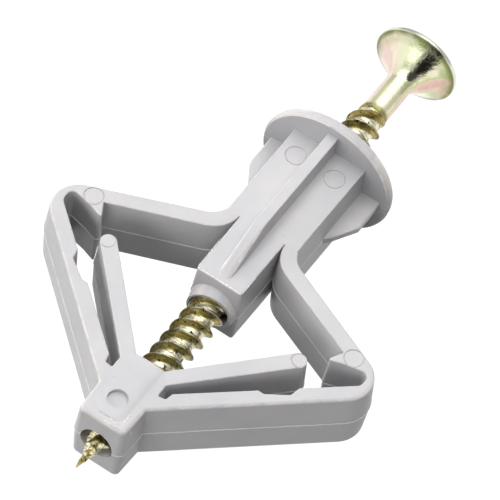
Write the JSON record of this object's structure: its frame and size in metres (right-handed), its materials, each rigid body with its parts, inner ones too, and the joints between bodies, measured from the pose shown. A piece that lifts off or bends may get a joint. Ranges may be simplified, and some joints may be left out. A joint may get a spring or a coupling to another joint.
{
  "type": "wall anchor",
  "caption": "Moulded butterfly anchor for hollow walls: a flanged sleeve with hinged wings and braces that spread behind the board as its long screw is driven through the nose.",
  "frame": {"origin": "centre of the flange's seat face, the face that lies on the wall", "axes": "+Y along the screw into the wall, from its head towards its point; X across the wings, +X on the right when the flange is seen from the front; +Z square to the wings' plane"},
  "size_m": [0.0366, 0.06, 0.0148],
  "materials": {
    "moulding": "semi-matt light grey moulded plastic",
    "hinge_web": "the same grey plastic, at the places that bend",
    "screw": "yellow zinc plate with a faint pink and green sheen"
  },
  "bodies": {
    "sleeve": {"sleeve": "moulding", "right_root_hinge": "hinge_web", "left_root_hinge": "hinge_web"},
    "right_upper_arm": {"right_upper_arm": "moulding", "right_elbow_hinge": "hinge_web"},
    "right_outer_arm": {"right_outer_arm": "moulding"},
    "nose": {"nose_block": "moulding", "right_nose_hinge": "hinge_web", "left_nose_hinge": "hinge_web", "right_brace_hinge": "hinge_web", "left_brace_hinge": "hinge_web"},
    "right_brace": {"right_brace": "moulding"},
    "left_brace": {"left_brace": "moulding"},
    "left_upper_arm": {"left_upper_arm": "moulding", "left_elbow_hinge": "hinge_web"},
    "left_outer_arm": {"left_outer_arm": "moulding"},
    "screw_core": {"screw_core": "screw"},
    "screw": {"screw": "screw"}
  },
  "joints": [
    {"name": "right_root_bend", "type": "hinge", "parent": "sleeve", "child": "right_upper_arm", "pos_m": [0.0034, 0.011, 0], "axis": [0, 0, -1], "range_deg": [-19, 13], "stiffness_Nm_per_rad": 0.02, "deforming": ["right_root_hinge"]},
    {"name": "right_elbow_bend", "type": "hinge", "parent": "right_upper_arm", "child": "right_outer_arm", "pos_m": [0.0175, 0.0219, 0], "axis": [0, 0, 1], "range_deg": [-38.1, 26.1], "deforming": ["right_elbow_hinge"]},
    {"name": "right_nose_bend", "type": "hinge", "parent": "right_outer_arm", "child": "nose", "pos_m": [0.0034, 0.0328, 0], "axis": [0, 0, -1], "range_deg": [-19.1, 13.1], "deforming": ["right_nose_hinge", "left_nose_hinge"]},
    {"name": "right_brace_bend", "type": "hinge", "parent": "nose", "child": "right_brace", "pos_m": [0.0034, 0.0328, 0], "axis": [0, 0, 1], "range_deg": [-19.1, 13.1], "deforming": ["right_brace_hinge"]},
    {"name": "left_brace_bend", "type": "hinge", "parent": "nose", "child": "left_brace", "pos_m": [-0.0034, 0.0328, 0], "axis": [0, 0, -1], "range_deg": [-19.1, 13.1], "deforming": ["left_brace_hinge"]},
    {"name": "left_root_bend", "type": "hinge", "parent": "sleeve", "child": "left_upper_arm", "pos_m": [-0.0034, 0.011, 0], "axis": [0, 0, 1], "range_deg": [-19.1, 13.1], "deforming": ["left_root_hinge"]},
    {"name": "left_elbow_bend", "type": "hinge", "parent": "left_upper_arm", "child": "left_outer_arm", "pos_m": [-0.0175, 0.0219, 0], "axis": [0, 0, -1], "range_deg": [-38.1, 26.1], "deforming": ["left_elbow_hinge"]},
    {"name": "screw_travel", "type": "slide", "parent": "sleeve", "child": "screw_core", "axis": [0, 1, 0], "range_m": [0, 0.016]},
    {"name": "screw_turn", "type": "hinge", "parent": "screw_core", "child": "screw", "pos_m": [0, 0, 0], "axis": [0, 1, 0], "range_deg": [-5, 1750.5]}
  ],
  "couplings": [
    {"joint": "right_elbow_bend", "follows": "right_root_bend", "ratio": 2},
    {"joint": "right_nose_bend", "follows": "right_root_bend", "ratio": 1},
    {"joint": "right_brace_bend", "follows": "right_root_bend", "ratio": 1},
    {"joint": "left_brace_bend", "follows": "right_root_bend", "ratio": 1},
    {"joint": "left_root_bend", "follows": "right_root_bend", "ratio": 1},
    {"joint": "left_elbow_bend", "follows": "right_root_bend", "ratio": 2},
    {"joint": "screw_turn", "follows": "screw_travel", "rad_per_m": 1904}
  ]
}
